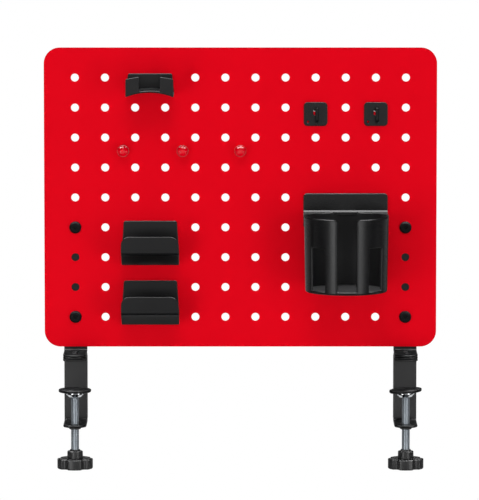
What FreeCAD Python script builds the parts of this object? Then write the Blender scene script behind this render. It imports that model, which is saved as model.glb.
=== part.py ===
import FreeCAD, Part
import math
import os
import re
import Sketcher

# Clamp-on desk pegboard with hung accessories, in millimetres.
# Frame: +Z up, -Y the front. The origin lies on the desk top's level, midway between the two clamps,
# at the back face of the panel, which is also the line of the desk's edge.

SIZES = (
    ("panel_width", 392), ("panel_height", 300), ("panel_thick", 2), ("panel_corner", 16),
    ("panel_lift", 10), ("hole_dia", 8), ("hole_pitch", 30), ("hole_columns", 12), ("hole_rows", 9),
    ("arm_width", 23.2), ("arm_thick", 2), ("arm_flange", 8), ("arm_over_screw", 12), ("arm_bend", 1.5),
    ("relief_depth", 2.2), ("relief_reach", 15), ("screw_rows", 3), ("cut_past", 1),
    ("frame_thick", 2.5), ("frame_flange", 8), ("throat", 64), ("jaw_depth", 46), ("jaw_corner", 11),
    ("jaw_pad_thick", 2), ("jaw_pad_start", 6),
    ("rivet_dia", 4), ("rivet_head_dia", 7), ("rivet_head_thick", 1.2), ("rivet_first", 14),
    ("rivet_gap", 16),
    ("bolt_dia", 6), ("bolt_clearance", 0.6), ("bolt_length", 11), ("bolt_head_dia", 12),
    ("bolt_head_thick", 3.4), ("bolt_socket", 4), ("bolt_socket_depth", 2), ("bolt_nut_across", 10),
    ("bolt_nut_thick", 5), ("thread_play", 0.1),
    ("clamp_axis", 32), ("clamp_screw_dia", 8), ("clamp_play", 0.05), ("bush_dia", 11.5),
    ("bush_below", 2.5), ("bush_flange_dia", 14), ("bush_flange_thick", 1.2),
    ("pad_drop", 29), ("pad_dia", 32.4), ("pad_thick", 2.8), ("pad_bevel", 0.8), ("spigot_wall", 1.8),
    ("spigot_height", 2),
    ("cup_dia", 20.6), ("cup_floor_dia", 14.2), ("cup_height", 4.8), ("cup_wall", 1), ("cup_rise", 3),
    ("cup_hole_play", 0.5), ("cup_shoulder_gap", 0.4), ("right_pad_lean", 4),
    ("tip_dia", 6), ("tip_above_floor", 2), ("groove_depth", 0.7), ("clip_thick", 0.8), ("clip_dia", 9),
    ("clip_lift", 0.45), ("clip_play", 0.05), ("clip_gap", 3),
    ("knob_drop", 91), ("knob_hub_dia", 15.4), ("knob_hub_height", 7.4), ("knob_dia", 35.4),
    ("knob_height", 10.2), ("knob_lobes", 5), ("knob_valley_dia", 8), ("knob_valley_depth", 2.9),
    ("knob_round", 1.6), ("knob_edge", 0.8), ("knob_collar_dia", 11), ("knob_collar_height", 1.6),
    ("knob_bore_depth", 15), ("screw_end_gap", 0.5),
    ("peg_dia", 6), ("peg_bend", 8), ("peg_sweep", 75), ("peg_seat_gap", 0.3), ("hang_gap", 0.2),
    ("sheet_thick", 2), ("sheet_bend", 1.6),
    ("phone_column", 2.5), ("phone_row", 8), ("phone_depth", 43), ("phone_top", 4.4),
    ("phone_top_width", 44), ("phone_width", 48), ("phone_crest", 9.3), ("phone_arch", 66.3),
    ("phone_tab_gap", 20.6), ("phone_tab_width", 47.4), ("phone_tab_rise", 4.5), ("phone_tab_fall", 2.3),
    ("phone_corner", 1.8),
    ("game_column", 2.5), ("game_upper_row", 3), ("game_lower_row", 1), ("game_top", 7.4),
    ("game_bottom", 38.3), ("game_reach", 40), ("game_lip_bottom", 23.1), ("game_lip_height", 18.3),
    ("game_top_width", 53), ("game_width", 57.4), ("game_corner", 8.5), ("game_plate_corner", 2),
    ("mug_column", 9), ("mug_row", 4), ("cup_plate_width", 84.2), ("cup_plate_thick", 3),
    ("cup_plate_top", 4.4), ("cup_plate_corner", 3.8), ("cup_plate_below", 34), ("drink_dia", 84),
    ("drink_foot_dia", 81.2), ("drink_rim_drop", 13.6), ("drink_height", 75), ("drink_wall", 2.6),
    ("drink_floor", 3.2), ("drink_sink", 1), ("drink_edge", 1.6), ("ledge_thick", 3.2),
    ("drink_slot", 19.4), ("slot_corner", 2.4), ("window_width", 18.2), ("window_turn", 45.5),
    ("window_height", 42.8),
    ("hook_row", 7), ("hook_left_column", 8), ("hook_right_column", 10), ("hook_width", 23.6),
    ("hook_height", 23.7), ("hook_top", 6.2), ("hook_corner", 3.8), ("hook_window", 6),
    ("hook_window_round", 3.01), ("hook_window_top", 0.5), ("hook_window_height", 12.4),
    ("hook_arm_width", 3.5), ("hook_arm_thick", 2.8), ("hook_arm_reach", 12), ("hook_tip_rise", 1.4),
    ("hook_arm_bend", 4.5), ("hook_nail_dia", 2.4), ("hook_nail_side", 7.6), ("hook_nail_drop", 13.4),
    ("magnet_dia", 9), ("magnet_thick", 2), ("magnet_gap", 0.1), ("pin_dia", 11.6), ("pin_base_thick", 3.2),
    ("pin_waist_dia", 8), ("pin_waist_end", 6.2), ("pin_head_dia", 10), ("pin_head_end", 9.6),
    ("pin_dome", 1.8), ("pin_height", 206.8), ("pin_first_x", -117), ("pin_second_x", -57.7),
    ("pin_third_x", 0),
)

doc = FreeCAD.newDocument("pegboard_organizer")
sheet = doc.addObject("Spreadsheet::Sheet", "Sizes")
for row, (alias, size) in enumerate(SIZES, start=1):
    sheet.set(f"A{row}", alias)
    sheet.set(f"B{row}", str(size))
    sheet.setAlias(f"B{row}", alias)
doc.recompute()

ALIAS = re.compile(r"\b(" + "|".join(alias for alias, size in SIZES) + r")\b")

# Places worked out from the driving sizes.
COLUMN_ONE = "-(hole_columns - 1) * hole_pitch / 2"
ROW_ONE = "panel_lift + (panel_height - (hole_rows - 1) * hole_pitch) / 2"
ARM_X = "(hole_columns - 1) * hole_pitch / 2"
SCREW_ROWS = {"lower": ROW_ONE, "upper": f"{ROW_ONE} + screw_rows * hole_pitch"}
FLANGE_TOP = "jaw_pad_thick + frame_thick"
FOOT_TOP = f"{FLANGE_TOP} + arm_thick"
JAW_BOTTOM = "-throat - frame_thick"
PEG_DROP = "(hole_dia - peg_dia) / 2 - peg_seat_gap"
CUP_FLOOR = "-pad_drop - pad_thick - cup_height + cup_wall / 2"
SIDES = {"left": -1, "right": 1}


def full(expression):
    """The expression with the sheet's name before each size."""
    return ALIAS.sub(r"Sizes.\1", expression)


def number(expression):
    """What the expression comes to now, in millimetres or degrees."""
    found = sheet.evalExpression(full(expression))
    return float(getattr(found, "Value", found))


def bind(thing, **expressions):
    """Tie properties of an object to expressions on the sheet."""
    for name, expression in expressions.items():
        thing.setExpression(name, full(expression))
    return thing


def place(body, x="0", y="0", z="0"):
    """Tie a body's position to the sheet."""
    for letter, expression in (("x", x), ("y", y), ("z", z)):
        body.setExpression(f"Placement.Base.{letter}", full(expression))
    return body


def new_body(label):
    body = doc.addObject("PartDesign::Body", label)
    body.Label = label
    return body


def sketch_on(body, plane, offset="0", turn=None):
    """A sketch on one of the body's origin planes, moved along its normal and turned about its upright."""
    support = next(feature for feature in body.Origin.OriginFeatures if feature.Role == plane + "_Plane")
    sketch = body.newObject("Sketcher::SketchObject", "sketch")
    sketch.AttachmentSupport = [(support, "")]
    sketch.MapMode = "FlatFace"
    if turn:
        spin = FreeCAD.Rotation(FreeCAD.Vector(0, 1, 0), number(turn))
        sketch.AttachmentOffset = FreeCAD.Placement(FreeCAD.Vector(), spin)
        sketch.setExpression("AttachmentOffset.Rotation.Angle", full(turn))
    sketch.setExpression("AttachmentOffset.Base.z", full(offset))
    return sketch


def pin(sketch, shape, point, across, up):
    """Hold a point of the sketch at two distances from the sketch's origin."""
    for kind, expression in (("DistanceX", across), ("DistanceY", up)):
        index = sketch.addConstraint(Sketcher.Constraint(kind, -1, 1, shape, point, number(expression)))
        sketch.setExpression(f"Constraints[{index}]", full(expression))


def bowed(start, end, radius):
    """The arc from start to end that bulges to the left of that way for a positive radius."""
    middle, chord = (start + end) / 2, end - start
    left = FreeCAD.Vector(-chord.y, chord.x, 0).normalize()
    reach = abs(radius) - math.sqrt(radius ** 2 - (chord.Length / 2) ** 2)
    return Part.Arc(start, middle + left * math.copysign(reach, radius), end)


def outline(sketch, *corners):
    """A closed outline; a corner is (across, up) or (across, up, radius of the arc to the next)."""
    spots = [FreeCAD.Vector(number(corner[0]), number(corner[1]), 0) for corner in corners]
    first, ends = sketch.GeometryCount, []
    for index, corner in enumerate(corners):
        start, end = spots[index], spots[(index + 1) % len(spots)]
        if len(corner) == 2:
            sketch.addGeometry(Part.LineSegment(start, end), False)
            ends.append((1, 2))
        else:
            radius = number(corner[2])
            sketch.addGeometry(bowed(start, end, radius), False)
            ends.append((2, 1) if radius > 0 else (1, 2))
    for index, corner in enumerate(corners):
        this, after = first + index, first + (index + 1) % len(corners)
        joint = ends[(index + 1) % len(corners)][0]
        sketch.addConstraint(Sketcher.Constraint("Coincident", this, ends[index][1], after, joint))
        pin(sketch, this, ends[index][0], corner[0], corner[1])
        if len(corner) == 3:
            size = sketch.addConstraint(Sketcher.Constraint("Radius", this, abs(number(corner[2]))))
            sketch.setExpression(f"Constraints[{size}]", full(f"abs({corner[2]})"))
    return sketch


def box_outline(sketch, left, right, low, high):
    return outline(sketch, (left, low), (right, low), (right, high), (left, high))


def circle(sketch, across, up, dia):
    shape = sketch.addGeometry(Part.Circle(FreeCAD.Vector(number(across), number(up), 0),
                                           FreeCAD.Vector(0, 0, 1), number(dia) / 2), False)
    pin(sketch, shape, 3, across, up)
    index = sketch.addConstraint(Sketcher.Constraint("Diameter", shape, number(dia)))
    sketch.setExpression(f"Constraints[{index}]", full(dia))
    return sketch


def pad(body, sketch, length, symmetric=False, back=False):
    feature = body.newObject("PartDesign::Pad", "pad")
    feature.Profile = sketch
    feature.Reversed = back
    if symmetric:
        feature.SideType = "Symmetric"
    return bind(feature, Length=length)


def pocket(body, sketch, length=None, back=False, symmetric=False):
    """A cut against the sketch's normal, or along it when back is set; through all without a length."""
    feature = body.newObject("PartDesign::Pocket", "pocket")
    feature.Profile = sketch
    feature.Reversed = back
    if symmetric:
        feature.SideType = "Symmetric"
    if length is None:
        feature.Type = "ThroughAll"
    else:
        bind(feature, Length=length)
    return feature


def turned(body, plane, axis, *corners, offset="0"):
    """A solid of revolution of the outline about the sketch's horizontal (H) or vertical (V) axis."""
    sketch = outline(sketch_on(body, plane, offset), *corners)
    feature = body.newObject("PartDesign::Revolution", "turning")
    feature.Profile = sketch
    feature.ReferenceAxis = (sketch, [axis + "_Axis"])
    feature.Angle = 360
    return feature


def ease(body, kind, size, *spots):
    """Fillet or chamfer the straight edges of the body whose middle lies at a spot (None: anywhere)."""
    body.recompute(True)
    base = body.Tip
    wanted = [[None if value is None else number(value) for value in spot] for spot in spots]
    names = []
    for index, edge in enumerate(base.Shape.Edges, start=1):
        middle = edge.valueAt((edge.FirstParameter + edge.LastParameter) / 2)
        for spot in wanted:
            if all(want is None or abs(want - have) < 0.01 for want, have in zip(spot, middle)):
                names.append(f"Edge{index}")
                break
    feature = body.newObject("PartDesign::" + kind, kind.lower())
    feature.Base = (base, names)
    return bind(feature, **{"Radius" if kind == "Fillet" else "Size": size})


# Pegboard panel: one sheet with a grid of round holes and rounded corners.
panel = new_body("pegboard_panel")
PANEL_TOP = "panel_lift + panel_height"
pad(panel, box_outline(sketch_on(panel, "XZ"), "-panel_width / 2", "panel_width / 2",
                       "panel_lift", PANEL_TOP), "panel_thick")
ease(panel, "Fillet", "panel_corner",
     *[(f"{side} * panel_width / 2", None, up) for side in (-1, 1) for up in ("panel_lift", PANEL_TOP)])
hole_sketch = circle(sketch_on(panel, "XZ"), COLUMN_ONE, ROW_ONE, "hole_dia")
hole = pocket(panel, hole_sketch, back=True)
grid = panel.newObject("PartDesign::LinearPattern", "hole_grid")
grid.Originals = [hole]
grid.Direction = (hole_sketch, ["H_Axis"])
grid.Direction2 = (hole_sketch, ["V_Axis"])
bind(grid, Length="(hole_columns - 1) * hole_pitch", Occurrences="hole_columns",
     Length2="(hole_rows - 1) * hole_pitch", Occurrences2="hole_rows")
panel.Tip = grid


def side_flanges(body, low, high, depth, thick):
    """Two flanges behind a channel's web, from low to high."""
    sketch = sketch_on(body, "XY", low)
    for side in (-1, 1):
        edges = sorted((f"{side} * (arm_width / 2 - {thick})", f"{side} * arm_width / 2"), key=number)
        box_outline(sketch, *edges, "0", depth)
    pad(body, sketch, f"{high} - ({low})")
    ease(body, "Fillet", "arm_bend", *[(f"{side} * arm_width / 2", "0", None) for side in (-1, 1)])


def reliefs(body, low, high):
    """Notches at both ends of the bends, so that the sheet folds without tearing."""
    sketch = sketch_on(body, "XZ")
    for side in (-1, 1):
        edges = sorted((f"{side} * (arm_width / 2 - relief_depth)",
                        f"{side} * (arm_width / 2 + cut_past)"), key=number)
        box_outline(sketch, *edges, low, high)
    pocket(body, sketch, "relief_reach", symmetric=True)


def jaw_corners(body):
    """Round the front corners of the body's horizontal parts, seen from above."""
    sketch = sketch_on(body, "XY")
    for s in (-1, 1):
        side, front = f"{s} * arm_width / 2", "-jaw_depth"
        outline(sketch, (side, f"{front} + jaw_corner", f"{s} * jaw_corner"),
                (f"{side} - {s} * jaw_corner", front),
                (f"{side} - {s} * jaw_corner", f"{front} - cut_past"),
                (f"{side} + {s} * cut_past", f"{front} - cut_past"),
                (f"{side} + {s} * cut_past", f"{front} + jaw_corner"))
    pocket(body, sketch, "3 * throat", symmetric=True)


def upper_bracket(side):
    """Channel behind the panel, bent forward under it into a foot."""
    body = place(new_body(f"upper_bracket_{side}"), x=f"{SIDES[side]} * {ARM_X}")
    top = f"{SCREW_ROWS['upper']} + arm_over_screw"
    foot_bottom = FLANGE_TOP
    side_view = outline(sketch_on(body, "YZ"), ("0", top), ("0", FOOT_TOP), ("-jaw_depth", FOOT_TOP),
                        ("-jaw_depth", foot_bottom), ("arm_thick", foot_bottom), ("arm_thick", top))
    pad(body, side_view, "arm_width", symmetric=True)
    ease(body, "Fillet", "arm_bend", ("0", "0", FOOT_TOP))
    ease(body, "Fillet", "arm_bend + arm_thick", ("0", "arm_thick", foot_bottom))
    side_flanges(body, "panel_lift + 2 * arm_bend", top, "arm_flange", "arm_thick")
    reliefs(body, foot_bottom, f"{FOOT_TOP} + arm_bend")
    jaw_corners(body)
    bolts = sketch_on(body, "XZ")
    for height in SCREW_ROWS.values():
        circle(bolts, "0", height, "bolt_dia + bolt_clearance")
    pocket(body, bolts, "arm_flange")
    rivets = sketch_on(body, "XY", foot_bottom)
    for step in (0, 1):
        circle(rivets, "0", f"-rivet_first - {step} * rivet_gap", "rivet_dia")
    pocket(body, rivets, "arm_thick", back=True)


def clamp_frame(side):
    """C-shaped clamp frame: top flange, web with rear flanges, bottom jaw."""
    body = place(new_body(f"clamp_frame_{side}"), x=f"{SIDES[side]} * {ARM_X}")
    flange_bottom = "jaw_pad_thick"
    side_view = outline(sketch_on(body, "YZ"), ("-jaw_depth", FLANGE_TOP), ("-jaw_depth", flange_bottom),
                        ("0", flange_bottom), ("0", "-throat"), ("-jaw_depth", "-throat"),
                        ("-jaw_depth", JAW_BOTTOM), ("frame_thick", JAW_BOTTOM),
                        ("frame_thick", FLANGE_TOP))
    pad(body, side_view, "arm_width", symmetric=True)
    ease(body, "Fillet", "arm_bend", ("0", "0", flange_bottom), ("0", "0", "-throat"))
    ease(body, "Fillet", "arm_bend + frame_thick", ("0", "frame_thick", FLANGE_TOP),
         ("0", "frame_thick", JAW_BOTTOM))
    rim = "arm_bend + frame_thick"
    side_flanges(body, f"{JAW_BOTTOM} + {rim}", f"{FLANGE_TOP} - {rim}", "frame_flange", "arm_thick")
    reliefs(body, f"{flange_bottom} - arm_bend - cut_past", FLANGE_TOP)
    jaw_corners(body)
    rivets = sketch_on(body, "XY", flange_bottom)
    for step in (0, 1):
        circle(rivets, "0", f"-rivet_first - {step} * rivet_gap", "rivet_dia")
    pocket(body, rivets, "frame_thick", back=True)
    pocket(body, circle(sketch_on(body, "XY", "-throat"), "0", "-clamp_axis", "bush_dia"), "frame_thick")


def bracket_rivets(side):
    """Rivets that join the foot to the clamp frame's top flange."""
    dome = "rivet_head_dia ^ 2 / 8 / rivet_head_thick + rivet_head_thick / 2"
    for step, name in enumerate(("front", "rear")):
        body = place(new_body(f"bracket_rivet_{side}_{name}"), x=f"{SIDES[side]} * {ARM_X}")
        turned(body, "XZ", "V", ("0", "jaw_pad_thick"), ("rivet_dia / 2", "jaw_pad_thick"),
               ("rivet_dia / 2", FOOT_TOP), ("rivet_head_dia / 2", FOOT_TOP, f"-({dome})"),
               ("0", f"{FOOT_TOP} + rivet_head_thick"),
               offset=f"rivet_first + {1 - step} * rivet_gap")


def jaw_pad(side):
    """Rubber pad under the top flange; its underside rests on the desk."""
    body = place(new_body(f"upper_jaw_pad_{side}"), x=f"{SIDES[side]} * {ARM_X}")
    plan = box_outline(sketch_on(body, "XY"), "-arm_width / 2", "arm_width / 2",
                       "-jaw_depth", "-jaw_pad_start")
    pad(body, plan, "jaw_pad_thick")
    ease(body, "Fillet", "jaw_corner", *[(f"{s} * arm_width / 2", "-jaw_depth", None) for s in (-1, 1)])


def on_screw_axis(label, side, height="0"):
    return place(new_body(label), x=f"{SIDES[side]} * {ARM_X}", y="-clamp_axis", z=height)


def jaw_nut(side):
    """Threaded bush pressed into the bottom jaw from below."""
    bore, low = "clamp_screw_dia / 2 + clamp_play", f"{JAW_BOTTOM} - bush_below"
    flange = f"{JAW_BOTTOM} - bush_flange_thick"
    turned(on_screw_axis(f"jaw_nut_{side}", side), "XZ", "V", (bore, low), ("bush_dia / 2", low),
           ("bush_dia / 2", flange), ("bush_flange_dia / 2", flange), ("bush_flange_dia / 2", JAW_BOTTOM),
           ("bush_dia / 2", JAW_BOTTOM), ("bush_dia / 2", "-throat"), (bore, "-throat"))


def clamp_screw(side):
    """Clamp screw with a turned-down tip, grooved for the retaining clip."""
    end = "-knob_drop - knob_bore_depth + screw_end_gap"
    shoulder = f"{CUP_FLOOR} - cup_wall / 2 - cup_shoulder_gap"
    tip = f"{CUP_FLOOR} + cup_wall / 2 + tip_above_floor"
    groove_low = f"{CLIP_LOW} - clip_play"
    groove_high = f"{CLIP_LOW} + clip_thick + clip_play"
    groove = "tip_dia / 2 - groove_depth"
    turned(on_screw_axis(f"clamp_screw_{side}", side), "XZ", "V", ("0", end),
           ("clamp_screw_dia / 2", end), ("clamp_screw_dia / 2", shoulder), ("tip_dia / 2", shoulder),
           ("tip_dia / 2", groove_low), (groove, groove_low), (groove, groove_high),
           ("tip_dia / 2", groove_high), ("tip_dia / 2", tip), ("0", tip))


def retaining_clip(side):
    """C-shaped clip in the tip's groove, above the cup's floor."""
    body = on_screw_axis(f"retaining_clip_{side}", side)
    ring = sketch_on(body, "XY", CLIP_LOW)
    circle(ring, "0", "0", "clip_dia")
    circle(ring, "0", "0", "tip_dia - 2 * groove_depth + 2 * clip_play")
    pad(body, ring, "clip_thick")
    gap = box_outline(sketch_on(body, "XY", CLIP_LOW), "-clip_gap / 2", "clip_gap / 2", "0", "clip_dia")
    pocket(body, gap, "clip_thick", back=True)


def swivel(label, side, *corners):
    """A turned piece that swivels on the screw's tip; zero is the middle of the cup's floor."""
    body = on_screw_axis(label, side, CUP_FLOOR)
    if side == "right":
        lean = FreeCAD.Rotation(FreeCAD.Vector(0, -1, 0), number("right_pad_lean"))
        body.Placement = FreeCAD.Placement(body.Placement.Base, lean)
        body.setExpression("Placement.Rotation.Angle", full("right_pad_lean"))
    turned(body, "XZ", "V", *corners)


def swivel_cup(side):
    """Pressed dish whose floor sits loose between the screw's shoulder and the clip."""
    hole, low, rim = "tip_dia / 2 + cup_hole_play", "-cup_wall / 2", "cup_height - cup_wall / 2"
    inner = "cup_dia / 2 - cup_wall"
    swivel(f"swivel_cup_{side}", side, (hole, low), ("cup_floor_dia / 2", low),
           ("cup_dia / 2", "cup_rise - cup_wall / 2"), ("cup_dia / 2", rim), (inner, rim),
           (inner, "cup_rise"), ("cup_floor_dia / 2 - cup_wall / 2", "cup_wall / 2"),
           (hole, "cup_wall / 2"))


def swivel_pad(side):
    """Disc pressed into the cup's rim; its top face bears on the underside of the desk."""
    low = "cup_height - cup_wall / 2"
    top, inner = f"{low} + pad_thick", "cup_dia / 2 - cup_wall"
    swivel(f"swivel_pad_{side}", side, ("0", low), (f"{inner} - spigot_wall", low),
           (f"{inner} - spigot_wall", f"{low} - spigot_height / 2"),
           (inner, f"{low} - spigot_height / 2"), (inner, low), ("pad_dia / 2 - pad_bevel", low),
           ("pad_dia / 2", f"{low} + pad_bevel"), ("pad_dia / 2", f"{top} - pad_bevel / 2"),
           ("pad_dia / 2 - pad_bevel / 2", top), ("0", top))


def clamp_knob(side):
    """Star knob with a hub, moulded on the screw's lower end."""
    body = on_screw_axis(f"clamp_knob_{side}", side)
    bore, collar = "clamp_screw_dia / 2", "-knob_drop + knob_collar_height"
    star_top = "-knob_drop - knob_hub_height"
    low, bore_floor = f"{star_top} - knob_height", "-knob_drop - knob_bore_depth"
    turned(body, "XZ", "V", ("0", low), ("knob_dia / 2", low), ("knob_dia / 2", star_top),
           ("knob_hub_dia / 2", star_top), ("knob_hub_dia / 2", "-knob_drop"),
           ("knob_collar_dia / 2", "-knob_drop"), (f"{bore} + knob_edge", collar), (bore, collar),
           (bore, bore_floor), ("0", bore_floor))
    reach, valley = "(knob_dia / 2 - knob_valley_depth + knob_valley_dia / 2)", "180 deg / knob_lobes"
    cutter = circle(sketch_on(body, "XY", star_top), f"{reach} * sin({valley})",
                    f"-{reach} * cos({valley})", "knob_valley_dia")
    valleys = body.newObject("PartDesign::PolarPattern", "valleys")
    valleys.Originals = [pocket(body, cutter)]
    valleys.Axis = (cutter, ["N_Axis"])
    valleys.Angle = 360
    bind(valleys, Occurrences="knob_lobes")
    body.Tip = valleys
    half = f"acos(({reach} ^ 2 + knob_dia ^ 2 / 4 - knob_valley_dia ^ 2 / 4) / {reach} / knob_dia)"
    turns = [f"({2 * lobe + 1} * {valley} + {side} * {half})"
             for lobe in range(int(number("knob_lobes"))) for side in (-1, 1)]
    ease(body, "Fillet", "knob_round",
         *[(f"knob_dia / 2 * sin({turn})", f"-knob_dia / 2 * cos({turn})", None) for turn in turns])


def panel_bolt(side, level):
    """Pan-head machine screw with a hexagon socket, and its nut behind the bracket."""
    spot = {"x": f"{SIDES[side]} * {ARM_X}", "z": SCREW_ROWS[level]}
    screw = place(new_body(f"panel_screw_{level}_{side}"), **spot)
    top, end = "-panel_thick - bolt_head_thick", "-panel_thick + bolt_length"
    turned(screw, "YZ", "H", (top, "0"), (end, "0"), (end, "bolt_dia / 2"),
           ("-panel_thick", "bolt_dia / 2"), ("-panel_thick", "bolt_head_dia / 2"),
           ("-panel_thick - bolt_head_thick / 4", "bolt_head_dia / 2", "-bolt_head_thick"),
           (top, "bolt_head_dia / 2 - bolt_head_thick / 2"))
    pocket(screw, hexagon(sketch_on(screw, "XZ", "panel_thick + bolt_head_thick"), "bolt_socket"),
           "bolt_socket_depth")
    nut = place(new_body(f"panel_nut_{level}_{side}"), **spot)
    face = circle(hexagon(sketch_on(nut, "XZ", "-arm_thick"), "bolt_nut_across"), "0", "0",
                  "bolt_dia + 2 * thread_play")
    pad(nut, face, "bolt_nut_thick", back=True)


def hexagon(sketch, across_flats):
    radius = f"{across_flats} / 2 / cos(30)"
    return outline(sketch, *[(f"{radius} * cos({60 * corner})", f"{radius} * sin({60 * corner})")
                             for corner in range(6)])


CLIP_LOW = f"{CUP_FLOOR} + cup_wall / 2 + clip_lift"
for side in SIDES:
    for make in (upper_bracket, clamp_frame, bracket_rivets, jaw_pad, jaw_nut, clamp_screw,
                 retaining_clip, swivel_cup, swivel_pad, clamp_knob):
        make(side)
    for level in SCREW_ROWS:
        panel_bolt(side, level)


def hung(label, column, row):
    """A body that hangs on the panel: x at a column (counted from 0), z at its pegs, y = 0 at the panel."""
    return place(new_body(label), x=f"{COLUMN_ONE} + {column} * hole_pitch", y="-panel_thick",
                 z=f"{ROW_ONE} + {row} * hole_pitch - ({PEG_DROP})")


def pegs(body, thick, *columns):
    """J-shaped pegs that pass the panel's holes and curve up behind it, about one axis."""
    for across in columns:
        sketch = circle(sketch_on(body, "XZ", "-panel_thick / 2"), across, "0", "peg_dia")
        ends = [f"{across} - peg_dia", f"{across} + peg_dia"]
        spots = [FreeCAD.Vector(number(end), number("peg_bend"), 0) for end in ends]
        line = sketch.addGeometry(Part.LineSegment(*spots), True)
        for point, end in enumerate(ends, start=1):
            pin(sketch, line, point, end, "peg_bend")
        bend = body.newObject("PartDesign::Revolution", "peg")
        bend.Profile = sketch
        bend.ReferenceAxis = (sketch, ["Axis0"])
        bend.Type = "TwoAngles"
        bind(bend, Angle="peg_sweep",
             Angle2=f"asin((panel_thick / 2 + hang_gap + {thick} / 2) / peg_bend)")


def headphone_holder():
    """Back plate, arched saddle and two front tabs that stop a headband sliding off."""
    body = hung("headphone_holder", "phone_column", "phone_row")
    under = "(phone_arch - sheet_thick)"
    half, top_half = "phone_width / 2", "phone_top_width / 2"

    def below(across):
        return f"-(phone_crest + phone_arch - sqrt({under} ^ 2 - ({across}) ^ 2))"

    above = f"-(phone_crest + phone_arch - sqrt(phone_arch ^ 2 - ({half}) ^ 2))"
    plate = outline(sketch_on(body, "XZ", "hang_gap"), (f"-{half}", below(half), under),
                    (half, below(half)), (top_half, "phone_top"), (f"-{top_half}", "phone_top"))
    pad(body, plate, "sheet_thick")
    ease(body, "Fillet", "phone_corner", *[(f"{s} * {top_half}", None, "phone_top") for s in (-1, 1)])
    saddle = outline(sketch_on(body, "XZ", "hang_gap"), (f"-{half}", below(half), under),
                     (half, below(half)), (half, above, "-phone_arch"), (f"-{half}", above))
    pad(body, saddle, "phone_depth - hang_gap")
    inner, outer = "phone_tab_gap / 2", "phone_tab_width / 2"
    low_top = "phone_tab_rise - phone_tab_fall"
    tabs = sketch_on(body, "XZ", "phone_depth - sheet_thick")
    outline(tabs, (inner, below(inner), under), (outer, below(outer)), (outer, low_top),
            (inner, "phone_tab_rise"))
    outline(tabs, (f"-{outer}", below(outer), under), (f"-{inner}", below(inner)),
            (f"-{inner}", "phone_tab_rise"), (f"-{outer}", low_top))
    pad(body, tabs, "sheet_thick")
    ease(body, "Fillet", "phone_corner", *[(f"{s} * {outer}", None, low_top) for s in (-1, 1)])
    pegs(body, "sheet_thick", "-hole_pitch / 2", "hole_pitch / 2")


def gamepad_holder(level):
    """Bent sheet: back plate, shelf that slopes up to the front, and a lip with rounded corners."""
    body = hung(f"gamepad_holder_{level}", "game_column", f"game_{level}_row")
    slope = "atan((game_bottom - game_lip_bottom) / (game_reach - hang_gap))"
    plate_front, lip_back = "-hang_gap - sheet_thick", "-game_reach + sheet_thick"
    lip_top = "-game_lip_bottom + game_lip_height"
    shelf_back = f"-game_bottom + sheet_thick * tan({slope}) + sheet_thick / cos({slope})"
    shelf_front = f"-game_lip_bottom - sheet_thick * tan({slope}) + sheet_thick / cos({slope})"
    side_view = outline(sketch_on(body, "YZ"), ("-hang_gap", "game_top"), (plate_front, "game_top"),
                        (plate_front, shelf_back), (lip_back, shelf_front), (lip_back, lip_top),
                        ("-game_reach", lip_top), ("-game_reach", "-game_lip_bottom"),
                        ("-hang_gap", "-game_bottom"))
    pad(body, side_view, "game_width", symmetric=True)
    ease(body, "Fillet", "sheet_bend", ("0", plate_front, shelf_back), ("0", lip_back, shelf_front))
    ease(body, "Fillet", "sheet_bend + sheet_thick", ("0", "-game_reach", "-game_lip_bottom"),
         ("0", "-hang_gap", "-game_bottom"))
    taper = sketch_on(body, "XZ")
    for s in (-1, 1):
        outline(taper, (f"{s} * game_top_width / 2", "game_top"),
                (f"{s} * game_width / 2", "-game_lip_bottom"), (f"{s} * game_width", "-game_lip_bottom"),
                (f"{s} * game_width", "game_top"))
    pocket(body, taper, "hang_gap + sheet_thick", back=True)
    ease(body, "Fillet", "game_plate_corner",
         *[(f"{s} * game_top_width / 2", None, "game_top") for s in (-1, 1)])
    ease(body, "Fillet", "game_corner", *[(f"{s} * game_width / 2", None, lip_top) for s in (-1, 1)])
    pegs(body, "sheet_thick", "-hole_pitch / 2", "hole_pitch / 2")


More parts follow.
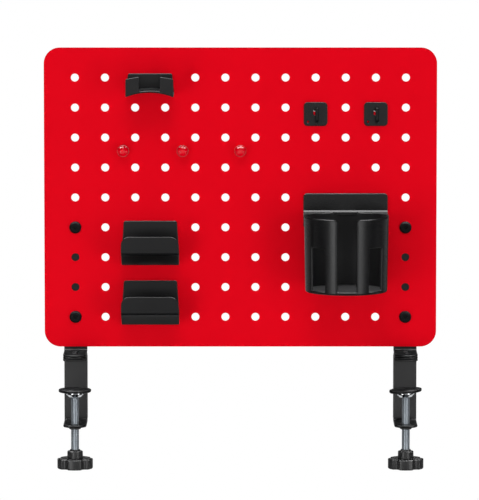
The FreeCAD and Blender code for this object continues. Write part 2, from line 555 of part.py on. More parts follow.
def cup_holder():
    """Moulded beaker with a D-shaped rim, a slot for a handle and two windows, on a back plate."""
    body = hung("cup_holder", "mug_column", "mug_row")
    plate_front = "hang_gap + cup_plate_thick"
    axis = f"({plate_front} + drink_dia / 2 - drink_sink)"
    rim, low = "-drink_rim_drop", "-drink_rim_drop - drink_height"
    floor_top = f"{low} + drink_floor"
    plate = box_outline(sketch_on(body, "XZ", "hang_gap"), "-cup_plate_width / 2", "cup_plate_width / 2",
                        "cup_plate_top - cup_plate_below", "cup_plate_top")
    pad(body, plate, "cup_plate_thick")
    ease(body, "Fillet", "cup_plate_corner",
         *[(f"{s} * cup_plate_width / 2", None, "cup_plate_top") for s in (-1, 1)])
    ledge = box_outline(sketch_on(body, "XZ", "hang_gap"), "-drink_dia / 2", "drink_dia / 2",
                        f"{rim} - ledge_thick", rim)
    pad(body, ledge, f"{axis} - hang_gap")
    turned(body, "XZ", "V", ("0", low), ("drink_foot_dia / 2 - drink_edge", low, "-drink_edge"),
           ("drink_foot_dia / 2", f"{low} + drink_edge"), ("drink_dia / 2", rim), ("0", rim), offset=axis)
    hollow = outline(sketch_on(body, "XZ", axis), ("0", floor_top),
                     ("drink_foot_dia / 2 - drink_wall", floor_top),
                     ("drink_dia / 2 - drink_wall", rim),
                     ("drink_dia / 2 - drink_wall", f"{rim} + cut_past"), ("0", f"{rim} + cut_past"))
    bore = body.newObject("PartDesign::Groove", "hollow")
    bore.Profile = hollow
    bore.ReferenceAxis = (hollow, ["V_Axis"])
    bore.Angle = 360
    slot = box_outline(sketch_on(body, "XZ", axis), "-drink_slot / 2", "drink_slot / 2", floor_top,
                       f"{rim} + cut_past")
    pocket(body, slot, "drink_dia", back=True)
    ease(body, "Fillet", "slot_corner", *[(f"{s} * drink_slot / 2", None, rim) for s in (-1, 1)])
    for s in (-1, 1):
        window = box_outline(sketch_on(body, "XZ", axis, turn=f"{s} * window_turn"),
                             "-window_width / 2", "window_width / 2", floor_top,
                             f"{floor_top} + window_height")
        pocket(body, window, "drink_dia", back=True)
    pegs(body, "cup_plate_thick", "-hole_pitch", "hole_pitch")


def small_hook(side):
    """Moulded plate with an upturned hook and the mould's window behind it."""
    body = hung(f"small_hook_{side}", f"hook_{side}_column", "hook_row")
    low = "hook_top - hook_height"
    plate = box_outline(sketch_on(body, "XZ", "hang_gap"), "-hook_width / 2", "hook_width / 2",
                        low, "hook_top")
    pad(body, plate, "sheet_thick")
    ease(body, "Fillet", "hook_corner",
         *[(f"{s} * hook_width / 2", None, up) for s in (-1, 1) for up in (low, "hook_top")])
    half, bottom = "hook_window / 2", "hook_window_top - hook_window_height"
    window = sketch_on(body, "XZ", "hang_gap")
    outline(window, (f"-{half}", f"{bottom} + {half}", "-hook_window_round"),
            (half, f"{bottom} + {half}"), (half, f"hook_window_top - {half}", "-hook_window_round"),
            (f"-{half}", f"hook_window_top - {half}"))
    pocket(body, window, "sheet_thick", back=True)
    root_top, root_low = bottom, f"{bottom} - hook_arm_thick"
    arm = outline(sketch_on(body, "YZ"), ("-hang_gap", root_low), ("-hook_arm_reach", root_low),
                  ("-hook_arm_reach", "hook_tip_rise"),
                  ("-hook_arm_reach + hook_arm_thick", "hook_tip_rise"),
                  ("-hook_arm_reach + hook_arm_thick", root_top), ("-hang_gap", root_top))
    pad(body, arm, "hook_arm_width", symmetric=True)
    ease(body, "Fillet", "hook_arm_bend", ("0", "-hook_arm_reach", root_low))
    nail = circle(sketch_on(body, "XZ", "hang_gap"), "-hook_nail_side", "-hook_nail_drop", "hook_nail_dia")
    pocket(body, nail, "sheet_thick", back=True)
    pegs(body, "sheet_thick", "0")


def magnet(name, across):
    """Round pin with a magnet disc pressed into its base; it holds itself on the steel panel."""
    spot = {"x": across, "y": "-panel_thick", "z": "pin_height"}
    back, recess = "-magnet_gap", "-magnet_gap - magnet_thick"
    turned(place(new_body(f"magnet_disc_{name}"), **spot), "YZ", "H", (recess, "0"), (back, "0"),
           (back, "magnet_dia / 2"), (recess, "magnet_dia / 2"))
    base = "-2 * magnet_gap"
    dome = "pin_head_dia ^ 2 / 8 / pin_dome + pin_dome / 2"
    turned(place(new_body(f"magnet_knob_{name}"), **spot), "YZ", "H", ("-pin_head_end - pin_dome", "0"),
           (recess, "0"), (recess, "magnet_dia / 2"), (base, "magnet_dia / 2"), (base, "pin_dia / 2"),
           ("-pin_base_thick", "pin_dia / 2"), ("-pin_base_thick - magnet_gap", "pin_waist_dia / 2"),
           ("-pin_waist_end + magnet_gap", "pin_waist_dia / 2"), ("-pin_waist_end", "pin_head_dia / 2"),
           ("-pin_head_end", "pin_head_dia / 2", f"-({dome})"))


headphone_holder()
gamepad_holder("upper")
gamepad_holder("lower")
cup_holder()
small_hook("left")
small_hook("right")
for name, across in (("left", "pin_first_x"), ("middle", "pin_second_x"), ("right", "pin_third_x")):
    magnet(name, across)

doc.recompute()
doc.recompute()
failed = [thing.Name for thing in doc.Objects if "Invalid" in thing.State or "Error" in thing.State]
bodies = doc.findObjects("PartDesign::Body")
failed += [body.Label for body in bodies if body.Shape.isNull() or not body.Shape.isValid()
           or len(body.Shape.Solids) != 1]
if failed:
    raise RuntimeError("failed: " + ", ".join(failed))
os.makedirs("parts", exist_ok=True)
for body in bodies:
    body.Shape.exportStep(f"parts/{body.Label}.step")
    print(f"{body.Label}: {body.Shape.Volume:.1f} mm3")
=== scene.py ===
from math import acos, asin, atan, cos, degrees, floor, hypot, inf, pi, radians, sin, sqrt, tan

import bmesh
import bpy
from mathutils import Matrix, Vector


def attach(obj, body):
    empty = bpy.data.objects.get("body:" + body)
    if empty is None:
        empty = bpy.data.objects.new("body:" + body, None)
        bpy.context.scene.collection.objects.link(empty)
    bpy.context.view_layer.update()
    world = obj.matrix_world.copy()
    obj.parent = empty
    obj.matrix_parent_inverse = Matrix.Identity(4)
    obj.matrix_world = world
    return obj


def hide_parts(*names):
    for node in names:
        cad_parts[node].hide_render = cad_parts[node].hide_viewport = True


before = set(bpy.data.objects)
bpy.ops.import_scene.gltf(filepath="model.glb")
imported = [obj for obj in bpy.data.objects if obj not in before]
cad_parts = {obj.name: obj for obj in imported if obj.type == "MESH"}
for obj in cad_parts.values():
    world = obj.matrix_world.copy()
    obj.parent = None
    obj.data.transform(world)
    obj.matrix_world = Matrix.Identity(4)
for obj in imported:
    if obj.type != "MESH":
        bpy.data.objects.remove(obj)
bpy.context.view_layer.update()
MM = 0.001

# The studio: a pale floor well below the clamps and a white backdrop, with a wide soft lamp above and
# before the panel and a tall soft box to each side. Mirror rays see a dark room of their own, with a bright
# strip overhead, a white wall near the camera, a pale far wall and a white card on the floor.
FLOOR_HEIGHT, FLOOR_SIDE, FLOOR_NEAR, FLOOR_FAR = -0.45, 40, -40, 90
AIM = Vector((-0.0009, 0, 0.1071))
CAMERA_DISTANCE, CAMERA_FAR = 5.0, 200
CAMERA_RISE = radians(6)
FRAME_WIDTH = 0.4792
SENSOR_WIDTH = 36
SOFT_LIGHT, FLOOR_GREY = 0.38, (0.86, 0.86, 0.86, 1)
BLACKEST, WHITEST = (0, 0, 0, 1), (1, 1, 1, 1)
# How bright the room's parts are to mirror rays, and where each starts or ends and how far it fades.
BACK_WALL, FRONT_WALL, OVERHEAD, CARD = 0.3, 1.2, 20.0, 0.85
BACK_FROM, FRONT_TO, STRIP_FROM, STRIP_WITHIN = (0.93, 0.07), (-0.9, 0.08), (0.66, 0.1), (0.3, 0.08)
CARD_FROM, CARD_TO, FLOOR_BACK_FROM, FLOOR_FRONT_TO = (0.07, 0.04), (0.5, 0.1), (0.7, 2.3), (-2.2, 2.0)


class Value:
    """A socket of some nodes, so that the maths on it reads as plain Python."""

    def __init__(self, nodes, socket):
        self.nodes, self.socket = nodes, socket

    def maths(self, operation, *terms):
        return self.nodes.node("ShaderNodeMath", {"operation": operation}, dict(enumerate(terms)))

    def __add__(self, other):
        return self.maths("ADD", self, other)

    def __radd__(self, other):
        return self.maths("ADD", other, self)

    def __sub__(self, other):
        return self.maths("SUBTRACT", self, other)

    def __rsub__(self, other):
        return self.maths("SUBTRACT", other, self)

    def __mul__(self, other):
        return self.maths("MULTIPLY", self, other)

    def __rmul__(self, other):
        return self.maths("MULTIPLY", other, self)

    def __truediv__(self, other):
        return self.maths("DIVIDE", self, other)

    def __rtruediv__(self, other):
        return self.maths("DIVIDE", other, self)

    def __abs__(self):
        return self.maths("ABSOLUTE", self)

    def clamped(self):
        return self.maths("MINIMUM", self.maths("MAXIMUM", self, 0), 1)

    def rising(self, start, over):
        """0 up to start, and 1 from there on, after a rise over that distance."""
        return ((self - start) / over).clamped()

    def falling(self, end, over):
        """0 from end on, and 1 before it, with a fall over that distance between them."""
        return ((end - self) / over).clamped()


class Nodes:
    """The nodes of a material or of the world."""

    def __init__(self, owner):
        owner.use_nodes = True
        self.tree = owner.node_tree

    def node(self, kind, settings=None, sockets=None, output=0):
        """A new node: its settings first, then its sockets' values or links."""
        node = self.tree.nodes.new(kind)
        for name, setting in (settings or {}).items():
            setattr(node, name, setting)
        for name, value in (sockets or {}).items():
            self.plug(value, node.inputs[name])
        return Value(self, node.outputs[output])

    def plug(self, value, socket):
        if isinstance(value, Value):
            self.tree.links.new(value.socket, socket)
        else:
            socket.default_value = value


def ray_masks(nodes):
    """1 for rays from the camera, and 1 for mirror rays and rays through glass."""
    seen, mirror, glass = (nodes.node("ShaderNodeLightPath", output=name)
                           for name in ("Is Camera Ray", "Is Glossy Ray", "Is Transmission Ray"))
    return seen, (mirror + glass).clamped()


room = bpy.data.worlds.new("room")
bpy.context.scene.world = room
nodes = Nodes(room)
camera_ray, mirror_ray = ray_masks(nodes)
direction = nodes.node("ShaderNodeTexCoord", output="Generated")
depth, rise = (nodes.node("ShaderNodeSeparateXYZ", sockets={"Vector": direction}, output=axis) for axis in "YZ")
strip = rise.rising(*STRIP_FROM) * abs(depth).falling(*STRIP_WITHIN)
mirrored = depth.rising(*BACK_FROM) * BACK_WALL + depth.falling(*FRONT_TO) * FRONT_WALL + strip * OVERHEAD
level = camera_ray + (1 - camera_ray) * (mirror_ray * mirrored + (1 - mirror_ray) * SOFT_LIGHT)
background = nodes.tree.nodes["Background"]
background.inputs["Color"].default_value = WHITEST
nodes.plug(level, background.inputs["Strength"])

floor_corners = ((-FLOOR_SIDE, FLOOR_NEAR), (FLOOR_SIDE, FLOOR_NEAR),
                 (FLOOR_SIDE, FLOOR_FAR), (-FLOOR_SIDE, FLOOR_FAR))
floor_mesh = bpy.data.meshes.new("floor")
floor_mesh.from_pydata([(x, y, FLOOR_HEIGHT) for x, y in floor_corners], [], [(0, 1, 2, 3)])
floor_piece = bpy.data.objects.new("floor", floor_mesh)
bpy.context.scene.collection.objects.link(floor_piece)
pale = bpy.data.materials.new("pale_floor")
nodes = Nodes(pale)
camera_ray, mirror_ray = ray_masks(nodes)
floor_place = nodes.node("ShaderNodeTexCoord", output="Object")
forward = nodes.node("ShaderNodeSeparateXYZ", sockets={"Vector": floor_place}, output="Y")
card = forward.rising(*CARD_FROM) * forward.falling(*CARD_TO)
mirrored = (card * CARD + forward.rising(*FLOOR_BACK_FROM) * BACK_WALL
            + forward.falling(*FLOOR_FRONT_TO) * FRONT_WALL)
matt = nodes.tree.nodes["Principled BSDF"]
matt.inputs["Base Color"].default_value = FLOOR_GREY
matt.inputs["Roughness"].default_value = 0.9
# The glow is as strong as its brightest part, and its colour brings the rest down from there.
share = (camera_ray + (1 - camera_ray) * mirrored) / FRONT_WALL
white = nodes.node("ShaderNodeMix", {"data_type": "RGBA"}, {0: share, 6: BLACKEST, 7: WHITEST}, output=2)
glow = nodes.node("ShaderNodeEmission", sockets={"Color": white, "Strength": FRONT_WALL})
mixed = nodes.node("ShaderNodeMixShader",
                   sockets={0: camera_ray + mirror_ray, 1: Value(nodes, matt.outputs[0]), 2: glow})
nodes.plug(mixed, nodes.tree.nodes["Material Output"].inputs["Surface"])
floor_mesh.materials.append(pale)


def lamp(name, place, width, height, watts):
    light = bpy.data.lights.new(name, "AREA")
    light.shape, light.size, light.size_y, light.energy = "RECTANGLE", width, height, watts
    holder = bpy.data.objects.new(name, light)
    holder.location = place
    holder.rotation_euler = (AIM - Vector(place)).to_track_quat("-Z", "Y").to_euler()
    bpy.context.scene.collection.objects.link(holder)


lamp("top_lamp", (-0.1, -1.7, 2.0), width=1.0, height=0.75, watts=14.6)
lamp("left_box", (-0.72, -1.15, -0.05), width=0.34, height=0.95, watts=4.9)
lamp("right_box", (0.86, -1.1, -0.05), width=0.42, height=0.95, watts=4.9)

camera = bpy.data.cameras.new("camera")
camera.sensor_fit, camera.sensor_width = "HORIZONTAL", SENSOR_WIDTH
camera.lens = SENSOR_WIDTH * CAMERA_DISTANCE / FRAME_WIDTH
camera.clip_end = CAMERA_FAR
tripod = bpy.data.objects.new("camera", camera)
tripod.location = AIM + CAMERA_DISTANCE * Vector((0, -cos(CAMERA_RISE), sin(CAMERA_RISE)))
tripod.rotation_euler = (radians(90) - CAMERA_RISE, 0, 0)
bpy.context.scene.collection.objects.link(tripod)
bpy.context.scene.camera = tripod
bpy.context.scene.view_settings.view_transform = "Standard"

# Pegboard panel: 2 mm sheet steel, laser cut with a grid of round holes and broken edges, then powder
# coated in bright red.
X, Y, Z = (1, 0, 0), (0, 1, 0), (0, 0, 1)
PANEL_WIDTH, PANEL_LOW, PANEL_HIGH, PANEL_THICK, PANEL_CORNER, PANEL_EDGE = 392, 10, 310, 2, 16, 0.5
PITCH, COLUMNS, ROWS, FIRST_ROW, HOLE_RADIUS = 30, 12, 9, 40, 4
RED = (0.74, 0.0004, 0.0085)
PATCH_SCALE, PATCH_MIDDLE, PATCH_CONTRAST, PATCH_GLOSS = 14.0, 0.3, 2.5, 0.12
SKIN_GLOSS, SKIN_STRENGTH = 0.1, 0.35
WELD = 0.004


def finish(name, colour, roughness, grain, relief, patches, specular=0.5, metallic=0.0):
    """A finish with a fine skin (grain per metre, relief in millimetres), soft patches and uneven gloss."""
    material = bpy.data.materials.new(name)
    nodes = Nodes(material)
    shader = nodes.tree.nodes["Principled BSDF"].inputs
    shader["Metallic"].default_value = metallic
    shader["Specular IOR Level"].default_value = specular
    place = nodes.node("ShaderNodeTexCoord", output="Object")
    cloud = nodes.node("ShaderNodeTexNoise", sockets={"Vector": place, "Scale": PATCH_SCALE, "Detail": 3.0})
    skin = nodes.node("ShaderNodeTexNoise", sockets={"Vector": place, "Scale": grain, "Detail": 2.0})
    dark, light = (tuple(c * (1 + side * patches) for c in colour) + (1,) for side in (-1, 1))
    paint = nodes.node("ShaderNodeMix", {"data_type": "RGBA"},
                       {0: (cloud - PATCH_MIDDLE) * PATCH_CONTRAST, 6: dark, 7: light}, output=2)
    nodes.plug(paint, shader["Base Color"])
    nodes.plug(roughness + (cloud - 0.5) * PATCH_GLOSS + (skin - 0.5) * SKIN_GLOSS, shader["Roughness"])
    bump = nodes.node("ShaderNodeBump",
                      sockets={"Strength": SKIN_STRENGTH, "Distance": relief * MM, "Height": skin})
    nodes.plug(bump, shader["Normal"])
    return material


def rounded(*corners, steps=6, closed=True):
    """The points of an outline whose corners are (across, up, radius)."""
    points = []
    for index, (across, up, radius) in enumerate(corners):
        here = Vector((across, up))
        if radius == 0 or not closed and index in (0, len(corners) - 1):
            points.append(tuple(here))
            continue
        before = (Vector(corners[index - 1][:2]) - here).normalized()
        after = (Vector(corners[(index + 1) % len(corners)][:2]) - here).normalized()
        half = acos(max(-1, min(1, before.dot(after)))) / 2
        middle = here + (before + after).normalized() * radius / sin(half)
        start = here + before * radius / tan(half) - middle
        end = here + after * radius / tan(half) - middle
        sweep = start.angle_signed(end)
        for step in range(steps + 1):
            turn = Matrix.Rotation(-sweep * step / steps, 2)
            points.append(tuple(middle + turn @ start))
    return points


def ring(across, up, radius, steps=32):
    """The points of a round hole."""
    return [(across + radius * sin(2 * pi * step / steps), up + radius * cos(2 * pi * step / steps))
            for step in range(steps)]


def evaluated(holder):
    """The mesh an object comes to, with its curves filled and its modifiers applied."""
    bpy.context.scene.collection.objects.link(holder)
    bpy.context.view_layer.update()
    mesh = bpy.data.meshes.new_from_object(holder.evaluated_get(bpy.context.evaluated_depsgraph_get()))
    bpy.data.objects.remove(holder)
    return mesh


def finished(work, name):
    """The mesh of a bmesh whose work is done."""
    mesh = bpy.data.meshes.new(name)
    work.to_mesh(mesh)
    work.free()
    return mesh


def cut_sheet(loops, thick, edge, across, up, middle):
    """A sheet cut to loops, the outline first and then its holes, with rounded edges. It's drawn flat and
    then laid along the two directions, about the middle."""
    drawing = bpy.data.curves.new("drawing", "CURVE")
    drawing.dimensions, drawing.fill_mode = "2D", "BOTH"
    drawing.extrude, drawing.bevel_depth = (thick / 2 - edge) * MM, edge * MM
    drawing.offset, drawing.bevel_resolution = -edge * MM, 2
    for index, loop in enumerate(loops):
        area = sum(a[0] * b[1] - b[0] * a[1] for a, b in zip(loop, loop[1:] + loop[:1]))
        points = loop if (area > 0) == (index == 0) else loop[::-1]
        spline = drawing.splines.new("POLY")
        spline.points.add(len(points) - 1)
        for point, (x, y) in zip(spline.points, points):
            point.co = (x * MM, y * MM, 0, 1)
        spline.use_cyclic_u = True
    work = bmesh.new()
    work.from_mesh(evaluated(bpy.data.objects.new("holder", drawing)))
    bmesh.ops.remove_doubles(work, verts=work.verts, dist=WELD * MM)
    mesh = finished(work, "sheet")
    across, up = Vector(across), Vector(up)
    turn = Matrix((across, up, across.cross(up))).transposed().to_4x4()
    mesh.transform(Matrix.Translation(Vector(middle) * MM) @ turn)
    return mesh


def piece(name, mesh, material, body, node, angle=32, second=None):
    """Put a finished mesh on its body, in place of the plain node it stands for. Faces that are marked
    take the second material."""
    mesh.shade_smooth()
    mesh.set_sharp_from_angle(angle=radians(angle))
    made = bpy.data.objects.new(name, mesh)
    bpy.context.scene.collection.objects.link(made)
    marks = [polygon.material_index for polygon in mesh.polygons]
    mesh.materials.clear()
    mesh.materials.append(material)
    if second:
        mesh.materials.append(second)
        mesh.polygons.foreach_set("material_index", marks)
    flat = made.modifiers.new("flats", "WEIGHTED_NORMAL")
    flat.keep_sharp = True
    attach(made, body)
    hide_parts(node)
    return made


red_coat = finish("red_powder_coat", RED, 0.42, 900.0, 0.06, patches=0.015, specular=0.03)
half_width = PANEL_WIDTH / 2
panel_corners = ((-half_width, PANEL_LOW), (half_width, PANEL_LOW),
                 (half_width, PANEL_HIGH), (-half_width, PANEL_HIGH))
outline = rounded(*[(x, z, PANEL_CORNER) for x, z in panel_corners], steps=14)
holes = [ring((column - (COLUMNS - 1) / 2) * PITCH, FIRST_ROW + row * PITCH, HOLE_RADIUS)
         for column in range(COLUMNS) for row in range(ROWS)]
panel = cut_sheet([outline] + holes, PANEL_THICK, PANEL_EDGE, X, Z, (0, -PANEL_THICK / 2, 0))
panel_piece = piece("panel", panel, red_coat, "stand", "pegboard_panel")
# The black accessories don't mirror the panel's red.
panel_piece.visible_glossy = False

# Upper brackets: pressed-steel channels behind the panel, bent forward under it into a foot with
# rounded corners, riveted to the clamp frame and powder coated in black.
BLACK = (0.006, 0.006, 0.0065)
ARM_X, ARM_WIDTH, ARM_THICK, ARM_FLANGE, ARM_TOP = 165, 23.2, 2, 8, 142
FOOT_LOW, FOOT_EDGE, JAW_DEPTH, JAW_CORNER, BEND, CHANNEL_LOW = 4.5, 0.9, 46, 11, 1.5, 13
CHANNEL_EDGE, FLANGE_TIP, INNER_BEND = 0.3, 0.5, 0.6
SIDES = {"left": -1, "right": 1}
black_coat = finish("black_powder_coat", BLACK, 0.32, 1100.0, 0.06, patches=0.2, specular=0.25)
dull_coat = finish("dull_black_coat", BLACK, 0.5, 1100.0, 0.06, patches=0.2, specular=0.08)


def channel(thick, low, high, x):
    """A pressed channel that stands upright, its flanges to the rear."""
    w = ARM_WIDTH / 2
    inner = w - ARM_THICK
    loop = rounded((-w, 0, BEND), (w, 0, BEND), (w, ARM_FLANGE, FLANGE_TIP), (inner, ARM_FLANGE, FLANGE_TIP),
                   (inner, thick, INNER_BEND), (-inner, thick, INNER_BEND),
                   (-inner, ARM_FLANGE, FLANGE_TIP), (-w, ARM_FLANGE, FLANGE_TIP))
    return cut_sheet([loop], high - low, CHANNEL_EDGE, X, Y, (x, 0, (low + high) / 2))


def bent_sheet(path, thick, sides, x, edge, start_round=0, end_round=0, holes=()):
    """A sheet cut flat and then bent along path, its middle surface in (y, z, bend radius), seen from the
    side. sides are its half widths and how far along the path they lie; its ends have rounded corners."""
    line = [Vector(point) for point in rounded(*path, closed=False)]
    run = [0.0]
    for a, b in zip(line, line[1:]):
        run.append(run[-1] + (b - a).length)
    ways = [(b - a).normalized() for a, b in zip(line, line[1:])]
    mitres = []
    for before, after in zip(ways[:1] + ways, ways + ways[-1:]):
        out = Vector((-before.y - after.y, before.x + after.x))
        mitres.append(out * 2 / out.length_squared)
    rounds = [start_round] + [0] * (len(sides) - 2) + [end_round]
    right = [(half, min(along, run[-1]), size) for (half, along), size in zip(sides, rounds)]
    outline = rounded(*right, *[(-half, along, size) for half, along, size in right[::-1]], steps=9)
    work = bmesh.new()
    work.from_mesh(cut_sheet([outline] + [ring(*hole) for hole in holes], thick, edge, X, Y, (0, 0, 0)))
    for station in run[1:-1]:
        bmesh.ops.bisect_plane(work, geom=work.verts[:] + work.edges[:] + work.faces[:], dist=1e-6,
                               plane_co=(0, station * MM, 0), plane_no=Y)
    for spot in work.verts:
        across, along, off = spot.co / MM
        k = next((k for k in range(len(run) - 2) if run[k + 1] >= along), len(run) - 2)
        share = (along - run[k]) / (run[k + 1] - run[k])
        place = (line[k] + mitres[k] * off).lerp(line[k + 1] + mitres[k + 1] * off, share)
        spot.co = Vector((x + across, place.x, place.y)) * MM
    bmesh.ops.recalc_face_normals(work, faces=work.faces)
    return finished(work, "bent")


def merged(name, *meshes):
    """One mesh of several."""
    whole = bmesh.new()
    for mesh in meshes:
        whole.from_mesh(mesh)
    return finished(whole, name)


arm_sides = [(ARM_WIDTH / 2, 0), (ARM_WIDTH / 2, inf)]
for side, sign in SIDES.items():
    x, middle = sign * ARM_X, FOOT_LOW + ARM_THICK / 2
    foot_path = [(-JAW_DEPTH, middle, 0), (ARM_THICK / 2, middle, BEND + ARM_THICK / 2),
                 (ARM_THICK / 2, CHANNEL_LOW, 0)]
    foot = bent_sheet(foot_path, ARM_THICK, arm_sides, x, FOOT_EDGE, start_round=JAW_CORNER)
    arm = channel(ARM_THICK, CHANNEL_LOW, ARM_TOP, x)
    piece(f"upper_bracket_{side}_shape", merged("bracket", foot, arm), black_coat, "stand",
          f"upper_bracket_{side}")
    for end in ("front", "rear"):
        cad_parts[f"bracket_rivet_{side}_{end}"].material_slots[0].material = dull_coat

# Panel screws: black M6 button heads with a hexagon socket; zinc-plated nuts hold them at the rear.
# Two of them join each upper bracket to the panel.
zinc = finish("zinc_plate", (0.66, 0.67, 0.69), 0.26, 1500.0, 0.02, patches=0.1, metallic=1.0)
for side in SIDES:
    for row in ("upper", "lower"):
        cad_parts[f"panel_screw_{row}_{side}"].material_slots[0].material = dull_coat
        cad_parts[f"panel_nut_{row}_{side}"].material_slots[0].material = zinc

# Clamp frames: C-shaped pressings of 2.5 mm steel with a channel for a back, powder coated in black. The
# channel is drawn in a greyer black, partly painted bounce light from the floor below, and the top flange and
# jaw take the darker black coat as painted shade against the stronger light from above. A rubber pad lies under
# the top flange, and a threaded bush is pressed into the bottom jaw.
GREY_BLACK = (0.038, 0.038, 0.0385)
FRAME_THICK, FRAME_EDGE, THROAT = 2.5, 1.1, 64
CLAMP_Y = -32
JAW_PAD_THICK, JAW_PAD_START, JAW_PAD_EDGE = 2, 6, 0.4
JAW_HOLE, BUSH_BORE, BUSH_NECK, BUSH_FLANGE, BUSH_LOW, BUSH_RIM = 5.8, 4.05, 5.75, 7, -69, -67.7
SPOT_WELD, SLIVER = 0.003, 0.002
# A greyer black, partly painted bounce light from the floor below.
clamp_coat_painted_bounce = finish("clamp_powder_coat_painted_bounce", GREY_BLACK, 0.45, 1100.0, 0.06, patches=0.1, specular=0.25)
rubber = finish("black_rubber", (0.014, 0.014, 0.014), 0.62, 1600.0, 0.08, patches=0.2, specular=0.3)


def turned(profile, middle, axis=Z, steps=48, close=True):
    """A turned piece: profile is (radius, height) along axis, from middle."""
    direction = Vector(axis)
    side = Vector(X)
    front = direction.cross(side)
    work, spots, count = bmesh.new(), [], len(profile)
    for step in range(steps):
        turn = 2 * pi * step / steps
        out = side * cos(turn) + front * sin(turn)
        spots += [work.verts.new((Vector(middle) + out * radius + direction * height) * MM)
                  for radius, height in profile]
    for step in range(steps):
        a, b = step * count, (step + 1) % steps * count
        for k in range(count if close else count - 1):
            m = (k + 1) % count
            work.faces.new([spots[index] for index in (a + k, b + k, b + m, a + m)])
    bmesh.ops.remove_doubles(work, verts=work.verts, dist=SPOT_WELD * MM)
    bmesh.ops.dissolve_degenerate(work, dist=SLIVER * MM, edges=work.edges)
    bmesh.ops.delete(work, geom=[edge for edge in work.edges if not edge.link_faces], context="EDGES")
    bmesh.ops.recalc_face_normals(work, faces=work.faces)
    return finished(work, "turned")


def marked(mesh):
    """The mesh, marked to take its piece's second material."""
    mesh.polygons.foreach_set("material_index", [1] * len(mesh.polygons))
    return mesh


reach = BEND + FRAME_THICK
back, bend = FRAME_THICK / 2, BEND + FRAME_THICK / 2
high, low = JAW_PAD_THICK + FRAME_THICK / 2, -THROAT - FRAME_THICK / 2
top_end, bottom_end = JAW_PAD_THICK + FRAME_THICK - reach, -THROAT - FRAME_THICK + reach
bush_seat = -THROAT - FRAME_THICK
bush_profile = rounded((BUSH_BORE, BUSH_LOW, 0.3), (BUSH_NECK, BUSH_LOW, 0.4), (BUSH_NECK, BUSH_RIM, 0.2),
                       (BUSH_FLANGE, BUSH_RIM, 0.3), (BUSH_FLANGE, bush_seat, 0), (BUSH_NECK, bush_seat, 0),
                       (BUSH_NECK, -THROAT, 0), (BUSH_BORE, -THROAT, 0.3), steps=3)
for side, sign in SIDES.items():
    x = sign * ARM_X
    flange = bent_sheet([(-JAW_DEPTH, high, 0), (back, high, bend), (back, top_end, 0)], FRAME_THICK,
                        arm_sides, x, FRAME_EDGE, start_round=JAW_CORNER)
    jaw = bent_sheet([(-JAW_DEPTH, low, 0), (back, low, bend), (back, bottom_end, 0)], FRAME_THICK,
                     arm_sides, x, FRAME_EDGE, start_round=JAW_CORNER,
                     holes=[(0, JAW_DEPTH + CLAMP_Y, JAW_HOLE)])
    web = channel(FRAME_THICK, bottom_end, top_end, x)
    # The flange and jaw are marked for the darker black coat: painted shade on the faces lit most from above.
    piece(f"clamp_frame_{side}_shape", merged("frame", marked(flange), marked(jaw), web), clamp_coat_painted_bounce,
          "stand", f"clamp_frame_{side}", second=black_coat)
    w = ARM_WIDTH / 2
    pad = cut_sheet([rounded((x - w, -JAW_DEPTH, JAW_CORNER), (x + w, -JAW_DEPTH, JAW_CORNER),
                             (x + w, -JAW_PAD_START, 0), (x - w, -JAW_PAD_START, 0))],
                    JAW_PAD_THICK, JAW_PAD_EDGE, X, Y, (0, 0, JAW_PAD_THICK / 2))
    piece(f"upper_jaw_pad_{side}_shape", pad, rubber, "stand", f"upper_jaw_pad_{side}")
    piece(f"jaw_nut_{side}_shape", turned(bush_profile, (x, CLAMP_Y, 0)), clamp_coat_painted_bounce, "stand",
          f"jaw_nut_{side}")

# Clamp screws: zinc-plated M8 with a rolled thread; a knob is moulded on the lower end, and the turned
# tip carries a pressed cup with a black disc, held by a spring clip.
THREAD_RADIUS, THREAD_DEPTH, THREAD_LEAD, RUN_OUT, RUN_OUT_DEPTH = 4, 0.16, 1.25, 1.5, 0.5
SHOULDER, SCREW_LOW, COLLAR_RADIUS, TIP_RADIUS, TIP_HIGH = -37, -105.5, 3.4, 3, -33.6
GROOVE_RADIUS, GROOVE_LOW, GROOVE_HIGH = 2.3, -35.2, -34.3
PIVOT, RIGHT_LEAN = -36.1, radians(4)
KNOB_TOP, STAR_TOP, STAR_LOW, KNOB_RADIUS, KNOB_EDGE, LOBES = -91, -98.4, -108.6, 17.7, 1.1, 5
VALLEY_RADIUS, VALLEY_DEPTH, LOBE_BLEND, BEYOND_VALLEY = 4, 2.9, 1.3, 60
HUB_FOOT, HUB_TOP, HUB_LIP, HUB_BORE, HUB_COLLAR = 7.9, 7.7, 5.5, 4, (4.8, 1.6)
CUP_BORE, CUP_FOOT, CUP_RADIUS, CUP_INNER, CUP_LOW, CUP_RIM = 3.5, 7.1, 10.3, 9.3, -0.5, 4.3
DISC_RADIUS, DISC_FACE, DISC_GROOVE, DISC_GROOVES = 16.2, 7.1, 6.8, (13.1, 9.1)
STAR_POINTS = 180
polished_zinc = finish("polished_zinc", (0.62, 0.64, 0.66), 0.14, 1500.0, 0.01, patches=0.06, metallic=1.0)
bright_zinc = finish("bright_zinc", (0.36, 0.4, 0.44), 0.3, 1500.0, 0.03, patches=0.12, metallic=0.72)
pad_moulding = finish("pad_moulding", BLACK, 0.4, 1900.0, 0.05, patches=0.12, specular=0.2)
knob_moulding = finish("knob_moulding", (0.018, 0.018, 0.0185), 0.34, 1900.0, 0.05, patches=0.12,
                       specular=0.45)


def tube(rings, top=True, is_open=None):
    """A mesh of rings of points joined by faces, closed at the ends, without the faces that are open."""
    count = len(rings[0])
    faces = []
    for row in range(len(rings) - 1):
        for k in range(count):
            if not (is_open and is_open(row, k)):
                a, b = row * count + k, row * count + (k + 1) % count
                faces.append((a, b, b + count, a + count))
    faces.append(tuple(range(count))[::-1])
    if top:
        faces.append(tuple(range((len(rings) - 1) * count, len(rings) * count)))
    mesh = bpy.data.meshes.new("tube")
    mesh.from_pydata([point for points in rings for point in points], [], faces)
    return mesh


